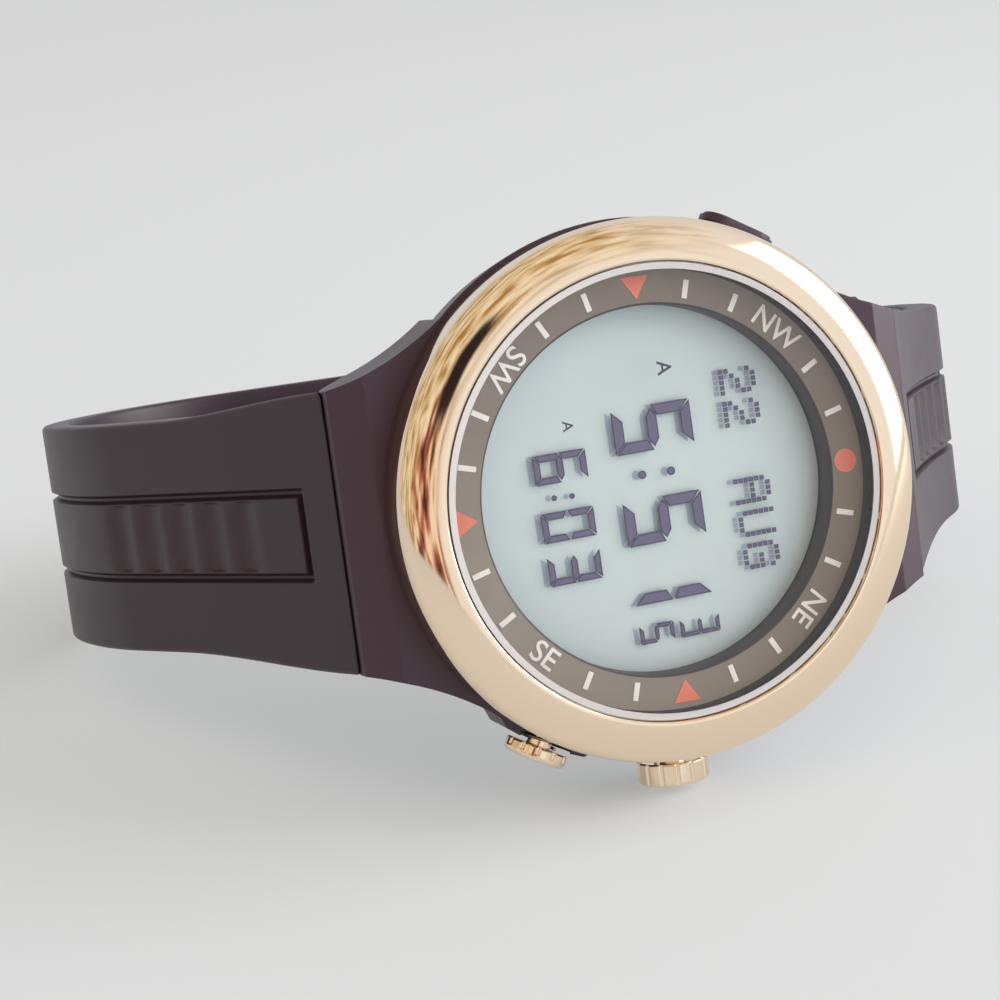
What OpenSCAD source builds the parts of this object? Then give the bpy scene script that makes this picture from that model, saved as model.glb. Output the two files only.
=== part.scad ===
// Digital compass sports watch, standing on its 3 o'clock side with the strap curled behind it.
// The pieces are drawn in the watch's own frame: X to 3 o'clock, Y to 12 o'clock, Z out of the dial,
// with Z = 0 at the face of the compass ring. stand() then sets the watch on its side, with the origin at
// the middle of the case back, +X to 12 o'clock and the dial facing -Y. All sizes are in millimetres.

/* [Case] */
// Radius of the round case body
case_r = 25.2; // [24.8:0.1:26]
// How much narrower the case is at its back
case_draft = 0.6; // [0.3:0.1:0.8]
// Height of the case wall, from its bottom to the shoulder that the bezel sits on
case_h = 7.1; // [7:0.1:7.6]
// How far the shoulder lies below the face of the compass ring
shoulder_drop = 4.4; // [4.2:0.1:4.6]
// Radius of the cavity that holds the module
cavity_r = 20.85; // [20.6:0.05:21.1]
// Thickness of the flange round the back opening
floor_t = 2.1; // [1.9:0.1:2.4]
// Radius of the back opening
back_opening_r = 16.4; // [15.8:0.1:16.6]
// Outer radius of the neck inside the bezel
neck_r = 22.85; // [22.6:0.05:23]
// Distance from the dial's centre to the seam between lug and strap
lug_reach = 28.3; // [28:0.1:28.8]
// Width of the lugs at the seam
lug_w = 26.3; // [25:0.1:27]
// Slope of the lugs' outer faces below the dial
lug_slope = 32.3; // [30:0.5:36]
// Slope of the strap's root below the dial
root_slope = 59.4; // [57:0.5:62]
// Radius of the rounded lug end, about the spring bar
lug_end_r = 4.2; // [4.1:0.05:4.4]
// Depth of the spring bar under the strap's outer face
bar_depth = 4.13; // [4:0.05:4.2]
// Lean of the dial when the watch stands on its side
lean = 13.2; // [8:0.1:18]

/* [Bezel and crystal] */
// Outer radius of the bezel
bezel_r = 25; // [24.6:0.1:25.4]
// Radius of the bezel's opening
bezel_opening_r = 20.9; // [20.85:0.05:21.1]
// Height on the bezel's side where its rounding starts
bezel_round_z = 0.2; // [-0.4:0.1:0.6]
// Radius of the bezel's outer shoulder
bezel_shoulder_r = 1.8; // [1.4:0.1:2.2]
// Radius of the crystal
crystal_r = 20.75; // [20.6:0.05:20.8]
// Thickness of the crystal
crystal_t = 2; // [1.8:0.1:2.4]
// Width of the polished bevel round the crystal
crystal_bevel = 0.6; // [0.3:0.1:0.8]
// Width of the crystal gasket's wall
gasket_w = 0.5; // [0.4:0.05:0.6]

/* [Compass ring] */
// Radius of the ring's opening
ring_opening_r = 17; // [16.6:0.1:17.2]
// Wall of the ring
ring_wall = 0.8; // [0.6:0.1:0.9]
// Depth of the ring's inner wall, down to the display
ring_depth = 2.9; // [2.7:0.1:3]
// Height of the ring's rim, which carries the crystal
rim_h = 1.1; // [1:0.1:1.3]
// Inner end of the printed ticks
tick_in_r = 17.7; // [17.4:0.1:18]
// Outer end of the printed ticks
tick_out_r = 19.4; // [19:0.1:19.8]
// Width of a tick
tick_w = 0.5; // [0.3:0.1:0.7]
// Thickness of the print
print_t = 0.06; // [0.04:0.01:0.1]

/* [Module] */
// Radius of the display's glass
lcd_r = 18.3; // [18:0.1:18.4]
// Thickness of the display's glass
lcd_t = 1.8; // [1.6:0.1:2]
// Thickness of the light panel behind the display
light_t = 0.8; // [0.6:0.1:1]
// Distance from the display to the circuit board, which the contact strips fill
strip_h = 2.9; // [2.8:0.1:3]
// Radius of the circuit board
board_r = 17.9; // [17.6:0.1:18]
// Thickness of the circuit board
board_t = 0.8; // [0.6:0.1:0.9]
// Diameter of the coin cell
cell_d = 20; // [16:0.5:20]
// Thickness of the coin cell
cell_t = 2.5; // [2:0.1:2.6]

/* [Case back] */
// Radius of the case back
back_r = 20.4; // [20.2:0.1:20.8]
// Thickness of the case back
back_t = 1.3; // [1.2:0.1:1.6]
// Radius of the circle that the screws lie on
screw_circle_r = 19.1; // [19:0.1:19.3]
// Diameter of a screw's head
screw_head_d = 2; // [1.8:0.1:2.1]

/* [Buttons] */
// Depth of the buttons' axes below the face of the compass ring
button_drop = 6.4; // [6.3:0.1:6.6]
// Radius of the stems
stem_r = 1.2; // [1.1:0.05:1.3]
// Running clearance round the stems
stem_gap = 0.05; // [0.03:0.01:0.08]
// Cap radius of the button at 3 o'clock
cap3_r = 3.4; // [3:0.1:3.5]
// Reach of the button at 3 o'clock beyond the bezel's side
cap3_reach = 3.2; // [2.6:0.1:4]
// Cap radius of the button at 4 o'clock
cap4_r = 3; // [2.6:0.1:3.1]
// Reach of the button at 4 o'clock beyond the bezel's side
cap4_reach = 2.3; // [1.9:0.1:2.8]
// Width of the cap at 10 o'clock
cap10_w = 7.4; // [6:0.1:7.6]
// Height of the cap at 10 o'clock
cap10_h = 4.4; // [4.2:0.1:4.8]
// Reach of the button at 10 o'clock beyond the bezel's side
cap10_reach = 1.6; // [1.4:0.1:2]
// Reach of the guards beside the buttons beyond the bezel's side
guard_reach = 0.7; // [0.5:0.1:0.9]
// Angle that a guard's outer face spans
guard_span = 18; // [16:1:22]
// Travel of the buttons at 3 and 4 o'clock
button_travel = 0.9; // [0.6:0.1:0.9]
// Travel of the button at 10 o'clock
light_travel = 0.6; // [0.4:0.1:0.6]

/* [Strap] */
// Width of the strap behind the wrist
strap_w = 23.2; // [22.8:0.1:23.6]
// Thickness of the strap at its root
root_t = 5.2; // [5:0.1:5.4]
// Thickness of the strap past its taper
strap_t = 3; // [2.8:0.1:3.4]
// Length over which the strap thins
taper_len = 45; // [40:1:46]
// Depth at which the strap has narrowed to its full length's width
narrow_z = 30; // [27:0.5:33]
// Distance between the two long grooves
groove_pitch = 8; // [7:0.1:9]
// Width of a groove
groove_w = 0.8; // [0.6:0.1:1]
// Depth of a groove
groove_depth = 0.7; // [0.5:0.1:0.8]
// Distance between the cross ribs
rib_pitch = 5; // [4.6:0.1:5.2]
// Radius of the adjusting holes
hole_r = 1.2; // [1:0.1:1.3]
// Distance between the adjusting holes
hole_pitch = 7; // [6:0.5:7.5]
// Radius of the spring bars
bar_r = 0.85; // [0.75:0.05:0.9]

/* [Buckle and keepers] */
// Width of the buckle's frame
buckle_w = 26.4; // [26:0.1:27]
// Length of the buckle's frame from its pin
buckle_len = 12; // [11:0.1:13]
// Thickness of the buckle's frame
buckle_t = 2; // [1.8:0.1:2.2]
// Width of the tongue
tongue_w = 2; // [1.6:0.1:2.2]
// Radius of the buckle's pin
pin_r = 0.75; // [0.7:0.05:0.8]
// Wall of the keepers
keeper_t = 1.1; // [0.9:0.1:1.3]
// Length of the keepers along the strap
keeper_len = 5.5; // [4.5:0.1:6]
// Room over the strap inside a keeper, for the second strap half
keeper_room = 3.4; // [3.2:0.1:3.8]

/* [Hidden] */
$fn = 72;

resin = "#453c43";
rubber = "#463d42";
gold = "#d7a77c";
steel = "#b9bbbd";

// Levels along the dial's axis
shoulder_z = -shoulder_drop;
bottom_z = shoulder_z - case_h;
floor_z = bottom_z + floor_t;
lcd_top_z = -ring_depth - 0.1;
lcd_back_z = lcd_top_z - lcd_t;
board_top_z = lcd_back_z - strip_h;
board_back_z = board_top_z - board_t;
cell_back_z = board_back_z - cell_t;
clip_back_z = cell_back_z - 0.15;
back_z = bottom_z - back_t;
pocket_z = back_z + 0.7;
gasket_foot_z = 0.3;
gasket_top_z = rim_h + 0.5;
neck_top_z = gasket_top_z - 0.1;
button_z = -button_drop;

// Radii that follow from their neighbours
gasket_bore_r = crystal_r + gasket_w + 0.05;
frame_r = cavity_r - 0.35;
frame_bore_r = lcd_r + 0.15;
shelf_r = board_r - 0.6;
pocket_r = back_opening_r - 0.2;

// Stations along a button's axis, from the dial's centre
clip_t = 0.4;
clip_x = cavity_r - clip_t - 0.15;
stem_in_x = cavity_r - 2.65;
seal_x = cavity_r + 0.85;
spring_x = cavity_r + 1.75;
seat_x = bezel_r + 0.1;
cap3_x = bezel_r + cap3_reach;
cap4_x = bezel_r + cap4_reach;
cap10_x = bezel_r + cap10_reach;
guard_x = bezel_r + guard_reach;
base_r = case_r - case_draft;
guards = [120, 300];

// Seam, spring bar and start of the strap, as [distance from the dial's centre, height]
function heading(h) = [cos(h), -sin(h)];
function outward(h) = [sin(h), cos(h)];
slope_top = [bezel_r + 0.3, shoulder_z];
seam = slope_top + (lug_reach - slope_top[0]) * [1, -tan(lug_slope)];
bar_back = sqrt(lug_end_r * lug_end_r - bar_depth * bar_depth);
bar = seam - bar_back * heading(root_slope) - bar_depth * outward(root_slope);
strap_start = seam - bar_back * heading(root_slope) - root_t / 2 * outward(root_slope);
seam_gap = 0.2;
tab_half_w = 7.9;
tab_half_t = 0.8;
tab_r = 1.9;
slot_half_w = tab_half_w + 0.2;
swing_out = 8;
swing_in = 6;

// Strap routes as [length, turn] runs from the strap's start
long_run = 35;
long_bend = 17;
long_curl = 39;
long_back = 38;
long_path = [[long_run, 1], [long_bend, 27], [long_curl, 180 - 28 - root_slope], [long_back, 0]];
short_run = 33;
short_bend = 12;
short_curl = 34;
short_path = [[short_run, -9], [short_bend, 30], [short_curl, 100]];
long_len = 126;
short_len = 77;
rib_start = 12.8;
rib_count = 5;
hole_start = 60;
hole_count = 9;
fixed_keeper_s = short_len - 7.4;
free_keeper_s = short_len - 15;
groove_start = 6;
short_groove_end = 42;
long_groove_end = long_len - strap_w / 2;
keeper_recess = 1;
knuckle_r = 1.9;
arm_w = 1.4;

function advance(p, h, d, turn) =
    turn == 0 ? p + d * heading(h)
              : let (r = d * 180 / (PI * turn)) p + r * [sin(h + turn) - sin(h), cos(h + turn) - cos(h)];

// Place and heading at distance s along a route
function station(path, s, p = strap_start, h = root_slope, i = 0) =
    let (run = path[i][0], turn = path[i][1])
    s <= run || i == len(path) - 1
        ? [advance(p, h, s, turn * s / run), h + turn * s / run]
        : station(path, s - run, advance(p, h, run, turn), h + turn, i + 1);

function strap_half_t(s) = max(strap_t, root_t - (root_t - strap_t) * s / taper_len) / 2;

// One face of the strap between two stations, as points of its side view. side is 1 outside, -1 inside
function face(path, s0, s1, side, off) =
    let (n = ceil(abs(s1 - s0) / 2.2))
    [for (k = [0:n])
        let (s = s0 + (s1 - s0) * k / n, at = station(path, s))
        at[0] + (side * strap_half_t(s) + off) * outward(at[1])];

// Half the strap's width at a height, wide at the seam and narrowing to strap_w
function strap_half_w(z) =
    let (k = max(0, min(1, (z + narrow_z) / (seam[1] + narrow_z))))
    (strap_w + (lug_w - strap_w) * k * k * (3 - 2 * k)) / 2;

function arc(c, r, a0, a1, n) =
    [for (i = [0:n]) let (a = a0 + (a1 - a0) * i / n) [c[0] + r * cos(a), c[1] + r * sin(a)]];

// Side view of a round eye of radius r about the spring bar with a flat tongue out of it, which may fan
// from slope h0 to slope h1
function eye_side(r, half, h0, h1, reach) =
    let (a = asin(half / r))
    concat([bar + reach * heading(h0) + half * outward(h0), bar + reach * heading(h1) - half * outward(h1)],
           arc(bar, r, -h1 - a, a - h0 - 360, 24));

// Turns the watch from its own frame to standing on its 3 o'clock side
module stand() {
    rotate([-lean, 0, 0]) rotate([90, 90, 0]) translate([0, 0, -back_z]) children();
}

// Children along +X, at a clock angle counted from 12 and at a height
module at_clock(angle, z) {
    rotate([0, 0, 90 - angle]) translate([0, 0, z]) children();
}

module rod(x0, x1, r) {
    translate([x0, 0, 0]) rotate([0, 90, 0]) cylinder(h = x1 - x0, r = r);
}

module disc(z0, z1, r) {
    translate([0, 0, z0]) cylinder(h = z1 - z0, r = r);
}

module ring(z0, z1, r0, r1) {
    difference() {
        disc(z0, z1, r1);
        disc(z0 - 1, z1 + 1, r0);
    }
}

// A side view drawn with X away from the dial's centre and Y up, made w thick about the middle
module side_solid(w) {
    rotate([90, 0, 90]) linear_extrude(w, center = true) children();
}

// Children at the 6 o'clock side in place of the 12 o'clock side
module six_side() {
    mirror([0, 1, 0]) children();
}

// Rounded rectangle without offsets
module round_rect(w, h, r) {
    square([w - 2 * r, h], center = true);
    square([w, h - 2 * r], center = true);
    for (x = [-1, 1])
        for (y = [-1, 1])
            translate([x * (w / 2 - r), y * (h / 2 - r)]) circle(r);
}

// Wire of radius r wound round X between two stations, as one tube
module coil(x0, x1, coil_r, r, turns) {
    steps = 10 * turns;
    sides = 6;
    span = x1 - x0 - 2 * r;
    rings = [for (i = [0:steps])
        let (a = 360 * turns * i / steps, x = x0 + r + span * i / steps)
        for (k = [0:sides - 1])
            let (b = 360 * k / sides, q = coil_r + r * cos(b))
            [x + r * sin(b), q * cos(a), q * sin(a)]];
    sidewalls = [for (i = [0:steps - 1])
        for (k = [0:sides - 1])
            let (m = (k + 1) % sides)
            [i * sides + k, i * sides + m, (i + 1) * sides + m, (i + 1) * sides + k]];
    ends = [[for (k = [sides - 1:-1:0]) k], [for (k = [0:sides - 1]) steps * sides + k]];
    polyhedron(rings, concat(sidewalls, ends), convexity = 8);
}

module lug() {
    flare = 7;
    half = lug_w / 2;
    end = lug_reach + flare;
    inner_r = case_r - 0.1;
    k = half * half + end * end - flare * flare - inner_r * inner_r;
    m = inner_r * inner_r - half * half;
    flank_r = (inner_r * k + sqrt(inner_r * inner_r * k * k - m * (k * k + 4 * half * half * flare * flare))) / (2 * m);
    flank_x = half + sqrt(flank_r * flank_r - flare * flare);
    a0 = atan2(seam[1] - bar[1], seam[0] - bar[0]);
    intersection() {
        side_solid(2 * case_r)
            polygon(concat([[17, bottom_z], [17, shoulder_z], slope_top],
                           arc(bar, lug_end_r, a0, -76, 9), [[20.5, bottom_z]]));
        translate([0, 0, -30]) linear_extrude(30) difference() {
            translate([-18.2, 16.6]) square([36.4, 20]);
            for (side = [-1, 1])
                translate([side * flank_x, end]) circle(flank_r, $fn = 160);
        }
    }
}

// Room for the strap's tab and the spring bar in one lug
module lug_slot() {
    side_solid(2 * slot_half_w)
        polygon(eye_side(tab_r + 0.2, tab_half_t + 0.15, root_slope - swing_out, root_slope + swing_in, 2 * lug_end_r));
    translate([0, bar[0], bar[1]]) rotate([0, 90, 0]) cylinder(h = 20.8, r = 0.55, center = true);
}

module guard(angle) {
    half = guard_span / 2;
    rotate([0, 0, 90 - angle]) translate([0, 0, bottom_z + 1.2])
        linear_extrude(case_h - 1.4)
            polygon(concat([[(case_r - 1.6) * cos(half + 12), -(case_r - 1.6) * sin(half + 12)]],
                           arc([0, 0], guard_x, -half, half, 6),
                           [[(case_r - 1) * cos(half + 5), (case_r - 1) * sin(half + 5)]]));
}

module button_bore(angle, seat) {
    at_clock(angle, button_z) {
        rod(cavity_r - 1, seat + 1, stem_r + stem_gap);
        rod(seal_x - 0.45, seal_x + 0.45, stem_r + 0.78);
        rod(spring_x, seat + 1, stem_r + 0.9);
        translate([seat, 0, 0]) rotate([0, 90, 0]) linear_extrude(3) children();
    }
}

module case_body() {
    color(resin) stand() difference() {
        union() {
            rotate_extrude()
                polygon([[10, bottom_z], [base_r - 1.6, bottom_z], [base_r - 0.6, bottom_z + 0.4],
                         [base_r - 0.1, bottom_z + 1.2], [base_r, bottom_z + 2], [case_r, shoulder_z],
                         [neck_r, shoulder_z], [neck_r, neck_top_z - 0.3], [neck_r - 0.3, neck_top_z],
                         [10, neck_top_z]]);
            lug();
            six_side() lug();
            for (a = guards) guard(a);
        }
        disc(floor_z, neck_top_z + 1, cavity_r);
        disc(gasket_foot_z, neck_top_z + 1, gasket_bore_r);
        disc(bottom_z - 1, floor_z + 1, back_opening_r);
        ring(bottom_z - 1, bottom_z + 0.6, back_opening_r + 0.6, back_opening_r + 1.5);
        for (a = [45:90:315])
            rotate([0, 0, a]) translate([screw_circle_r, 0, bottom_z - 1]) cylinder(h = 2.6, r = 0.5);
        lug_slot();
        six_side() lug_slot();
        button_bore(90, bezel_r + 0.02) circle(cap3_r + 0.15);
        button_bore(120, bezel_r + 0.02) circle(cap4_r + 0.15);
        button_bore(300, bezel_r + 0.02) round_rect(cap10_h + 0.3, cap10_w + 0.3, 2.1);
    }
}

module bezel_ring() {
    turn = 60;
    shoulder = [bezel_r - bezel_shoulder_r, bezel_round_z];
    back = (shoulder[0] - bezel_opening_r) / cos(turn);
    crown = shoulder - back * [cos(turn), sin(turn)];
    color(gold) stand() rotate_extrude()
        polygon(concat([[neck_r + 0.05, shoulder_z], [bezel_r - 0.25, shoulder_z], [bezel_r, shoulder_z + 0.25]],
                       arc(shoulder, bezel_shoulder_r, 0, turn, 6),
                       arc(crown, back + bezel_shoulder_r, turn + 4, 88, 5),
                       [[bezel_opening_r, crown[1] + back + bezel_shoulder_r - 0.2],
                        [bezel_opening_r, neck_top_z + 0.2], [neck_r + 0.05, neck_top_z + 0.2]]));
}

module crystal() {
    top = rim_h + crystal_t;
    color("#e8eeee", 0.3) stand() rotate_extrude()
        polygon([[0, rim_h], [crystal_r, rim_h], [crystal_r, top - crystal_bevel],
                 [crystal_r - crystal_bevel, top], [0, top]]);
}

module crystal_gasket() {
    color("#e2e2df") stand() ring(gasket_foot_z, gasket_top_z, crystal_r + 0.03, gasket_bore_r - 0.03);
}

module compass_ring() {
    color("#7d776e") stand() rotate_extrude()
        polygon([[ring_opening_r, -ring_depth], [ring_opening_r, -0.1], [ring_opening_r + 0.1, 0],
                 [crystal_r - 0.45, 0], [crystal_r - 0.45, rim_h], [crystal_r, rim_h], [crystal_r, -ring_wall],
                 [ring_opening_r + ring_wall, -ring_wall], [ring_opening_r + ring_wall, -ring_depth]]);
}

// Ticks every 15 degrees. The four quarters carry the pointers, and the four diagonals are left free for
// the compass letters.
module ring_marks() {
    color("#f0eeea") stand() linear_extrude(print_t)
        for (a = [0:15:345])
            if (a % 45 != 0)
                rotate(a) translate([tick_in_r, -tick_w / 2]) square([tick_out_r - tick_in_r, tick_w]);
}

// A disc at 12 o'clock and triangles at the other three quarters
module ring_pointers() {
    mid_r = (tick_in_r + tick_out_r) / 2;
    color("#e8917c") stand() linear_extrude(print_t) {
        for (a = [0, 180, 270])
            rotate(a) polygon([[tick_in_r - 0.1, 0], [tick_out_r + 0.3, 1.35], [tick_out_r + 0.3, -1.35]]);
        rotate(90) translate([mid_r, 0]) circle(1.1);
    }
}

module lcd_panel() {
    color("#c9d5d4") stand() disc(lcd_back_z, lcd_top_z, lcd_r);
}

module light_panel() {
    color("#dfe6e2") stand() intersection() {
        disc(lcd_back_z - light_t - 0.05, lcd_back_z - 0.05, shelf_r - 0.5);
        translate([-20, -13.6, -20]) cube([40, 27.2, 20]);
    }
}

module contact_strips() {
    color("#3a3a3c") stand()
        for (side = [-1, 1])
            translate([-6, side * 15 - 0.9, board_top_z]) cube([12, 1.8, strip_h]);
}

module module_frame() {
    color("#5b5b60") stand() difference() {
        union() {
            ring(floor_z, -ring_wall, frame_bore_r, frame_r);
            ring(board_top_z, lcd_back_z, shelf_r, frame_bore_r + 0.1);
        }
        for (a = [90, 120, 300])
            at_clock(a, floor_z - 1)
                translate([shelf_r - 1, -2.6, 0]) cube([5, 5.2, button_z + 2.5 - floor_z + 1]);
    }
}

module circuit_board() {
    color("#2f6b4a") stand() {
        disc(board_back_z, board_top_z, board_r);
        translate([-3.5, -4, board_top_z]) cube([7, 7, 1]);
        translate([-9, 6, board_top_z]) cube([2, 5, 0.8]);
        translate([6.5, 6.5, board_top_z]) cube([3, 1.6, 0.6]);
        translate([6.5, -8, board_top_z]) cube([1.6, 3, 0.6]);
    }
}

// One leaf spring contact, upright in front of a stem that comes in by travel
module switch_leaf(angle, travel) {
    leaf_t = 0.25;
    foot = 2;
    at_clock(angle, board_top_z) translate([stem_in_x - travel - 0.05 - leaf_t, -1.5, 0]) {
        cube([leaf_t, 3, button_z + 0.9 - board_top_z]);
        translate([leaf_t - foot, 0, 0]) cube([foot, 3, 0.2]);
    }
}

module switch_leaves() {
    color(steel) stand() {
        switch_leaf(90, button_travel);
        switch_leaf(120, button_travel);
        switch_leaf(300, light_travel);
    }
}

module cell_place() {
    translate([0, 4, 0]) children();
}

module battery() {
    color(steel) stand() cell_place() {
        disc(cell_back_z, board_back_z - 0.6, cell_d / 2);
        disc(board_back_z - 0.7, board_back_z, cell_d / 2 - 1.6);
    }
}

module battery_clip() {
    half = cell_d / 2 + 0.3;
    color(steel) stand() cell_place() {
        translate([-half - 0.4, -2.5, clip_back_z]) cube([2 * half + 0.8, 5, 0.15]);
        for (side = [-1, 1])
            translate([side * (half + 0.2) - 0.2, -2.5, clip_back_z])
                cube([0.4, 5, board_back_z - clip_back_z]);
    }
}

module buzzer_disc() {
    color("#c9a24e") stand() translate([0, -3, 0]) {
        disc(pocket_z, pocket_z + 0.2, 10);
        disc(pocket_z + 0.15, pocket_z + 0.3, 7);
    }
}

module buzzer_spring() {
    color(steel) stand() translate([0, -10.6, board_back_z]) rotate([0, 90, 0])
        coil(0, board_back_z - pocket_z - 0.3, 1, 0.18, 5);
}

module case_back() {
    color(steel) stand() difference() {
        rotate_extrude()
            polygon([[0, back_z], [back_r - 0.5, back_z], [back_r, back_z + 0.5], [back_r, bottom_z],
                     [0, bottom_z]]);
        disc(pocket_z, bottom_z + 1, pocket_r);
        for (a = [45:90:315])
            rotate([0, 0, a]) translate([screw_circle_r, 0, back_z - 1]) {
                cylinder(h = 5, r = 0.65);
                cylinder(h = 1.6, r = screw_head_d / 2 + 0.08);
            }
    }
}

module case_back_gasket() {
    color("#2c2c2e") stand() ring(bottom_z, bottom_z + 0.55, back_opening_r + 0.65, back_opening_r + 1.45);
}

module case_back_screws() {
    color(steel) stand()
        for (a = [45:90:315])
            rotate([0, 0, a]) translate([screw_circle_r, 0, 0]) difference() {
                union() {
                    disc(back_z + 0.1, back_z + 0.6, screw_head_d / 2);
                    disc(back_z + 0.5, bottom_z + 1.4, 0.48);
                }
                translate([-0.15, -2, back_z]) cube([0.3, 4, 0.32]);
            }
}

module button_seals() {
    color("#2c2c2e") stand()
        for (a = [90, 120, 300])
            at_clock(a, button_z) translate([seal_x, 0, 0]) rotate([0, 90, 0])
                rotate_extrude() translate([stem_r + 0.39, 0]) circle(0.36);
}

// Stem with its clip groove, turned with a cap of radius r between two stations. The outer edge is
// rounded by edge.
module turned_button(r, cap_in, reach, edge) {
    rotate([0, 90, 0]) rotate_extrude()
        polygon(concat([[0, stem_in_x], [stem_r, stem_in_x], [stem_r, clip_x], [stem_r - 0.4, clip_x],
                        [stem_r - 0.4, clip_x + clip_t], [stem_r, clip_x + clip_t], [stem_r, cap_in],
                        [r - 0.15, cap_in], [r, cap_in + 0.15]],
                       arc([r - edge, reach - edge], edge, 0, 90, 5), [[0, reach]]));
}

module button_clip(angle) {
    at_clock(angle, button_z) difference() {
        rod(clip_x + 0.02, clip_x + clip_t - 0.02, stem_r + 1);
        rod(clip_x - 1, clip_x + 1, stem_r - 0.38);
        translate([clip_x - 1, -stem_r + 0.38, 0]) cube([3, 2 * stem_r - 0.76, 4]);
    }
}

module flutes(count, r, x0, x1, groove_r) {
    for (i = [0:count - 1])
        rotate([360 * (i + 0.5) / count, 0, 0]) translate([0, 0, r + 0.15]) rod(x0, x1, groove_r);
}

cap3_in = seat_x + button_travel;
cap4_in = seat_x + button_travel - 0.05;
cap10_in = seat_x + light_travel - 0.05;

module button_3() {
    color(gold) stand() at_clock(90, button_z) difference() {
        turned_button(cap3_r, cap3_in, cap3_x, 0.35);
        flutes(14, cap3_r, cap3_in - 1, cap3_x + 1, 0.3);
    }
}

module button_4() {
    color(gold) stand() at_clock(120, button_z) difference() {
        turned_button(cap4_r, cap4_in, cap4_x, 0.5);
        flutes(12, cap4_r, cap4_in - 1, cap4_x - 0.65, 0.3);
    }
}

module button_10() {
    color(resin) stand() at_clock(300, button_z) {
        turned_button(stem_r + 0.4, cap10_in, cap10_x - 0.2, 0.1);
        translate([cap10_in, 0, 0]) rotate([0, 90, 0])
            linear_extrude(cap10_x - 0.3 - cap10_in) round_rect(cap10_h, cap10_w, 2);
        translate([cap10_x - 0.35, 0, 0]) rotate([0, 90, 0])
            linear_extrude(0.35) round_rect(cap10_h - 0.6, cap10_w - 0.6, 1.7);
    }
}

module button_3_clip() { color(steel) stand() button_clip(90); }
module button_4_clip() { color(steel) stand() button_clip(120); }
module button_10_clip() { color(steel) stand() button_clip(300); }

module button_spring(angle, cap_in) {
    at_clock(angle, button_z) coil(spring_x + 0.03, cap_in - 0.03, stem_r + 0.5, 0.16, 4);
}

module button_3_spring() { color(steel) stand() button_spring(90, cap3_in); }
module button_4_spring() { color(steel) stand() button_spring(120, cap4_in); }
module button_10_spring() { color(steel) stand() button_spring(300, cap10_in); }

module spring_bar() {
    translate([0, bar[0], bar[1]]) rotate([0, 90, 0]) {
        cylinder(h = 2 * slot_half_w - 0.2, r = bar_r, center = true);
        cylinder(h = 20.4, r = 0.5, center = true);
    }
}

module spring_bar_12() { color(steel) stand() spring_bar(); }
module spring_bar_6() { color(steel) stand() six_side() spring_bar(); }

// Children at a station of a route, with Y along the strap and Z out of its outer face
module at_station(path, s) {
    at = station(path, s);
    translate([0, at[0][0], at[0][1]]) rotate([-at[1], 0, 0]) children();
}

// The slab between two stations and two offsets from the strap's outer face
module outer_slab(path, s0, s1, low, high, w) {
    side_solid(w) polygon(concat(face(path, s0, s1, 1, high), face(path, s1, s0, 1, low)));
}

// Front view of a strap half: its width at each height
module strap_outline() {
    levels = [for (z = [0:-3:-narrow_z - 1]) z];
    rotate([90, 0, 0]) linear_extrude(140, center = true)
        polygon(concat([for (z = levels) [strap_half_w(z), z]], [[strap_w / 2, -100], [-strap_w / 2, -100]],
                       [for (i = [len(levels) - 1:-1:0]) [-strap_half_w(levels[i]), levels[i]]]));
}

// A strap half without its far end: band, rounded seam, tab, grooves and cross ribs
module strap_half(path, length, groove_end) {
    difference() {
        union() {
            difference() {
                intersection() {
                    side_solid(2 * lug_w)
                        polygon(concat(face(path, 0, length, 1, 0), face(path, length, 0, -1, 0)));
                    strap_outline();
                }
                translate([0, bar[0], bar[1]]) rotate([0, 90, 0])
                    cylinder(h = 2 * lug_w, r = lug_end_r + seam_gap, center = true);
            }
            side_solid(2 * tab_half_w)
                polygon(eye_side(tab_r, tab_half_t, root_slope, root_slope, lug_end_r + 1.5));
        }
        translate([0, bar[0], bar[1]]) rotate([0, 90, 0])
            cylinder(h = 2 * lug_w, r = bar_r + stem_gap, center = true);
        for (side = [-1, 1])
            translate([side * groove_pitch / 2, 0, 0])
                outer_slab(path, groove_start, groove_end, -groove_depth, 2, groove_w);
        outer_slab(path, groove_start, groove_start + groove_w, -groove_depth, 2, groove_pitch);
        for (i = [0:rib_count - 1])
            at_station(path, rib_start + rib_pitch * (i + 0.5))
                translate([-groove_pitch / 2, -0.8, strap_half_t(rib_start + rib_pitch * i) - 0.55])
                    cube([groove_pitch, 1.6, 2]);
    }
}

module strap_long() {
    tip = station(long_path, long_len)[0];
    tip_r = strap_w / 2 + 0.3;
    color(rubber) stand() six_side() difference() {
        intersection() {
            strap_half(long_path, long_len, long_groove_end);
            union() {
                translate([-lug_w, tip[0] + tip_r, -long_len]) cube([2 * lug_w, long_len, long_len]);
                translate([0, tip[0] + tip_r, -long_len]) cylinder(h = long_len, r = tip_r);
            }
        }
        for (i = [0:hole_count - 1])
            at_station(long_path, hole_start + hole_pitch * i)
                cylinder(h = 10, r = hole_r, center = true);
    }
}

module strap_short() {
    color(rubber) stand() difference() {
        union() {
            strap_half(short_path, short_len - 0.8, short_groove_end);
            at_station(short_path, short_len) rotate([0, 90, 0]) rotate([0, 0, 20])
                cylinder(h = strap_w - 0.2, r = knuckle_r, center = true);
        }
        at_station(short_path, short_len) {
            rotate([0, 90, 0]) cylinder(h = 2 * strap_w, r = pin_r + stem_gap, center = true);
            translate([-tongue_w / 2 - 0.4, -3.2, -5]) cube([tongue_w + 0.8, 10, 10]);
        }
        at_station(short_path, fixed_keeper_s)
            translate([-strap_w, -keeper_len / 2 - 0.1, -strap_half_t(fixed_keeper_s) - root_t])
                cube([2 * strap_w, keeper_len + 0.2, root_t + keeper_recess]);
    }
}

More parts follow.
